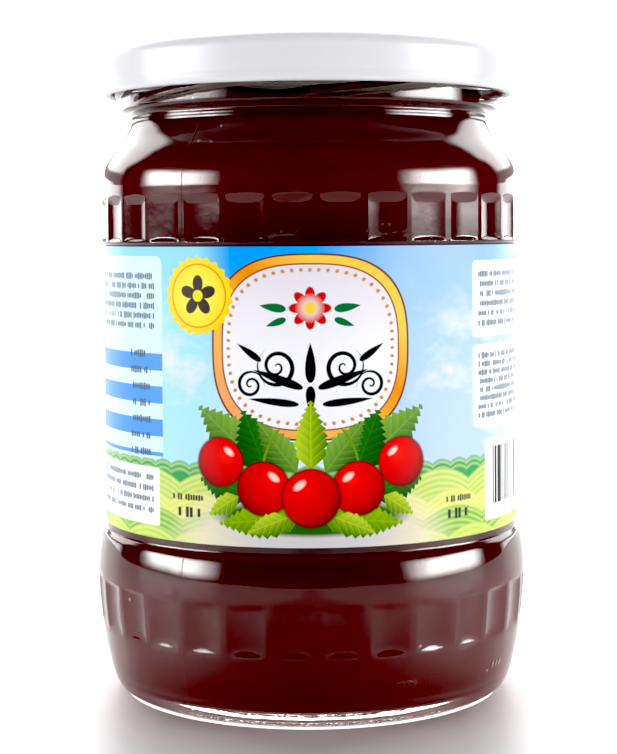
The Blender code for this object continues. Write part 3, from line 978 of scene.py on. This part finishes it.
# Panels of small print on both sides, with a plain striped table and plain bars
SMALL = ink(70, 92, 118)
with layer("left panels"):
    paint(ink(214, 244, 252), covered(slab(-46.0, 34.6, 15.2, 19.4, 1.6)) * 0.94)
    small_print(-46.0, 45.4, 13.0, 5.7, 1.9, 0.58, SMALL, 0.52)
    a, b = local(-46.0, 16.6)
    band = covered(1.65 - (b.by("WRAP", 6.3, 0.0) - 4.6).size())
    paint(ink(80, 152, 230), covered(slab(-46.0, 25.6, 15.2, 9.8, 0.1)) * band)
    column_line = covered(0.1 - (a + 5.0).size(), 0.2)
    paint(ink(110, 150, 180), column_line * covered(slab(-46.0, 26.6, 15.2, 11.2, 0.1)))
    small_print(-37.6, 25.8, 3.4, 11.0, 3.15, 0.66, SMALL, 0.36)
    paint(ink(244, 248, 246), covered(slab(-46.6, 8.0, 14.8, 5.6, 0.6)))
    small_print(-46.6, 8.4, 13.0, 4.2, 2.1, 0.58, SMALL, 0.42)
    small_print(-24.4, 8.6, 3.9, 0.8, 1.6, 0.6, BLACK, 0.6)
    small_print(-24.4, 5.8, 2.6, 1.1, 2.2, 0.9, BLACK, 0.7)
with layer("right panels"):
    small_print(30.8, 7.6, 3.4, 0.8, 1.6, 0.6, BLACK, 0.6)
    small_print(30.6, 4.8, 2.8, 1.1, 2.2, 0.9, BLACK, 0.7)
    paint(ink(244, 246, 252), covered(slab(50.0, 45.4, 15.0, 7.4, 0.8)))
    small_print(50.0, 45.4, 13.2, 5.7, 1.9, 0.58, SMALL, 0.5)
    paint(ink(240, 244, 252), covered(slab(50.0, 28.6, 15.0, 8.0, 0.8)))
    small_print(50.0, 28.6, 13.2, 6.6, 1.65, 0.54, SMALL, 0.54)
    paint(ink(250, 250, 250), covered(slab(52.0, 10.2, 13.0, 8.0, 0.8)))
    a, b = local(42.0, 0)
    chance = tree.nodes.new("ShaderNodeTexWhiteNoise")
    chance.noise_dimensions = "1D"
    joined(tree, (a / 0.42).by("FLOOR").socket, chance.inputs["W"])
    bar = Field(number(tree, "GREATER_THAN", chance.outputs["Value"], 0.52))
    paint(ink(22, 22, 26), covered(slab(52.4, 10.8, 10.4, 5.6, 0.1)) * bar)

# A bunch of three cherries and two scrolls on each of the two smaller medallions
with layer("small bunches"):
    cherry(93.0, 30.0, 4.0, True)
    cherry(101.0, 30.0, 4.0, True)
    cherry(97.0, 24.8, 4.2, True)
    leaf(97.0, 35.0, 8.0, 2.4, 28, 7, ink(20, 100, 16), ink(120, 182, 50), True)
    leaf(97.0, 35.0, 8.0, 2.4, 152, 7, ink(20, 100, 16), ink(120, 182, 50), True)
    volute(92.8, 43.0, 2.8, 1.7, 200)
    volute(101.2, 43.0, 2.8, 1.7, 200)

joined(tree, picture, shader.inputs["Base Color"])
shader.inputs["Roughness"].default_value = 0.42
shader.inputs["Specular IOR Level"].default_value = 0.14
shader.inputs["Coat Weight"].default_value = 0.3
shader.inputs["Coat Roughness"].default_value = 0.1
fibre = number(tree, "MULTIPLY", noise(tree, 900, 2.0), 0.25)
crease = number(tree, "ADD", noise(tree, 60, 2.0), fibre)
joined(tree, bump(tree, crease, 0.22 * MM), shader.inputs["Normal"])
label.data.materials.append(printed)
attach(label, "root")
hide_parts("label")

# The camera: a short telephoto lens close to the jar, a little below its lid and looking down by
# under two degrees. The frame is shifted down so that the upright sides stay upright.
CAMERA_PLACE = (-0.2 * MM, -372 * MM, 93.4 * MM)
CAMERA_TILT = 1.6
CAMERA_ROLL = 0.35
camera = bpy.data.objects.new("camera", bpy.data.cameras.new("camera"))
bpy.context.scene.collection.objects.link(camera)
bpy.context.scene.camera = camera
camera.data.lens = 85.5
camera.data.sensor_width = 36
camera.data.shift_y = -0.1265
camera.location = CAMERA_PLACE
camera.rotation_euler = (math.radians(90 - CAMERA_TILT), math.radians(CAMERA_ROLL), 0)

# The table top: a plain white sweep, far larger than the jar. Round the foot it has a painted shadow, tinted
# red as if by light through the jam; under the foot a painted glow shines up through the foot's clear glass,
# and a painted glow makes it paler to the sides.
TABLE_REACH = 8.0
PAINTED_SHADOW_REACH = 64.516 * MM
FOOT_PAINTED_GLOW_REACH = 38.5 * MM
PAINTED_GLOW_FROM = 28 * MM
CAMERA_PAINTED_GLOW_FROM = 34 * MM
GLOW_SLOPE = 12
table = bpy.data.meshes.new("table_top")
corners = [(x * TABLE_REACH, y * TABLE_REACH, 0) for x, y in ((-1, -1), (1, -1), (1, 1), (-1, 1))]
table.from_pydata(corners, [], [(0, 1, 2, 3)])
table_top = bpy.data.objects.new("table_top", table)
bpy.context.scene.collection.objects.link(table_top)
white, tree, shader = shader_tree("white table top")
spread = tree.nodes.new("ShaderNodeMapping")
spread.inputs["Scale"].default_value = [1 / PAINTED_SHADOW_REACH] * 3
joined(tree, tree.nodes.new("ShaderNodeTexCoord").outputs["Object"], spread.inputs["Vector"])
near = tree.nodes.new("ShaderNodeTexGradient")
near.gradient_type = "SPHERICAL"
joined(tree, spread.outputs[0], near.inputs["Vector"])
# Painted shadow: the table's colour is darker and redder close round the foot.
painted_red_shadow = tree.nodes.new("ShaderNodeMix")
painted_red_shadow.data_type = "RGBA"
painted_red_shadow.inputs["A"].default_value = (0.64, 0.64, 0.65, 1)
painted_red_shadow.inputs["B"].default_value = (0.52, 0.28, 0.28, 1)
joined(tree, near.outputs["Fac"], painted_red_shadow.inputs["Factor"])
joined(tree, painted_red_shadow.outputs["Result"], shader.inputs["Base Color"])
shader.inputs["Roughness"].default_value = 0.4
shader.inputs["Specular IOR Level"].default_value = 0.12
# Painted glow: the table shines under the foot, as if light came up through the clear base.
painted_glow_under_foot = number(tree, "GREATER_THAN", near.outputs["Fac"], 1 - FOOT_PAINTED_GLOW_REACH / PAINTED_SHADOW_REACH)
place = tree.nodes.new("ShaderNodeSeparateXYZ")
joined(tree, tree.nodes.new("ShaderNodeTexCoord").outputs["Object"], place.inputs[0])
# Painted light: beyond these distances, to the sides and behind, the table glows more and more. One glow is
# weaker and every ray sees it; a stronger one only the camera sees. The sum, with the glow under the foot,
# goes out as its emission.
aside = number(tree, "MAXIMUM", number(tree, "ABSOLUTE", place.outputs["X"]), place.outputs["Y"])
for_camera = tree.nodes.new("ShaderNodeLightPath").outputs["Is Camera Ray"]
lit = painted_glow_under_foot
for start, most, share in ((PAINTED_GLOW_FROM, 0.34, 1.0), (CAMERA_PAINTED_GLOW_FROM, 0.7, for_camera)):
    ramp = number(tree, "MULTIPLY", number(tree, "SUBTRACT", aside, start), GLOW_SLOPE)
    ramp = number(tree, "MINIMUM", number(tree, "MAXIMUM", ramp, 0.0), most)
    lit = number(tree, "MULTIPLY_ADD", ramp, share, lit)
joined(tree, lit, shader.inputs["Emission Strength"])
table.materials.append(white)

# The studio: a long soft box on each side, a weak fill from the front, a ceiling and a bright
# backdrop with a dark ledge. Each has three strengths: seen through the glass, mirrored by a
# gloss, and scattered off a plain face.
world = bpy.data.worlds.new("studio")
bpy.context.scene.world = world
world.use_nodes = True
tree = world.node_tree
background = tree.nodes["Background"]
way = tree.nodes.new("ShaderNodeSeparateXYZ")
joined(tree, tree.nodes.new("ShaderNodeTexCoord").outputs["Generated"], way.inputs[0])
turn = number(tree, "ARCTAN2", way.outputs["X"], number(tree, "MULTIPLY", way.outputs["Y"], -1))
lift = number(tree, "ARCSINE", way.outputs["Z"])


def step(value, start, end):
    """0 at the start angle and 1 at the end angle, in degrees, smooth between them."""
    node = tree.nodes.new("ShaderNodeMapRange")
    node.interpolation_type = "SMOOTHSTEP"
    joined(tree, value, node.inputs["Value"])
    node.inputs["From Min"].default_value = math.radians(start)
    node.inputs["From Max"].default_value = math.radians(end)
    return node.outputs["Result"]


def panel_light(turns, lifts, strength):
    """A soft-edged panel of light. It rises between a span's first two angles and falls between its last."""
    glow = strength
    for value, span in ((turn, turns), (lift, lifts)):
        glow = number(tree, "MULTIPLY", step(value, span[0], span[1]), glow)
        glow = number(tree, "MULTIPLY", step(value, span[3], span[2]), glow)
    return glow


right_box = panel_light((46, 68, 90, 106), (-2.3, 6.2, 10, 20), 21.0)
left_box = panel_light((-106, -90, -68, -46), (-0.6, 8.4, 10, 20), 21.0)
front_fill = panel_light((-60, -40, 40, 60), (-20, -10, 30, 45), 0.6)
ceiling = number(tree, "MULTIPLY", step(lift, 20, 60), step(lift, 84, 66))
backdrop = number(tree, "MULTIPLY", step(number(tree, "ABSOLUTE", turn), 121, 129), step(lift, 75, 60))
ledge = number(tree, "MULTIPLY", step(lift, 4.1, 4.6), step(lift, 12, 8))
dark_ledge = number(tree, "MULTIPLY", backdrop, ledge)
path = tree.nodes.new("ShaderNodeLightPath")
diffuse = path.outputs["Is Diffuse Ray"]
gloss = path.outputs["Is Glossy Ray"]
glow = number(tree, "MULTIPLY_ADD", diffuse, front_fill, 0.05)
for part, seen_through, mirrored, scattered in (
    (right_box, 1.0, 1.0, 0.16),
    (left_box, 1.0, 1.0, 0.16),
    (ceiling, 0.34, 0.34, 0.21),
    (backdrop, 4.0, 4.0, 1.9),
    (dark_ledge, 0.0, -3.4, 0.0),
):
    share = number(tree, "MULTIPLY_ADD", diffuse, scattered - seen_through, seen_through)
    share = number(tree, "MULTIPLY_ADD", gloss, mirrored - seen_through, share)
    glow = number(tree, "MULTIPLY_ADD", part, share, glow)
white_behind = number(tree, "MULTIPLY", path.outputs["Is Camera Ray"], 1.05)
joined(tree, number(tree, "MAXIMUM", glow, white_behind), background.inputs["Strength"])
background.inputs["Color"].default_value = (1, 1, 1, 1)

# The picture's development: plain colours with the deep blacks and clean whites of a catalogue
# photo. The faint veil that the room leaves on the glass falls below the black level.
look = bpy.context.scene.view_settings
look.view_transform = "Standard"
look.use_curve_mapping = True
look.curve_mapping.black_level = (0.03, 0.03, 0.03)
look.curve_mapping.white_level = (0.95, 0.95, 0.95)
look.curve_mapping.update()
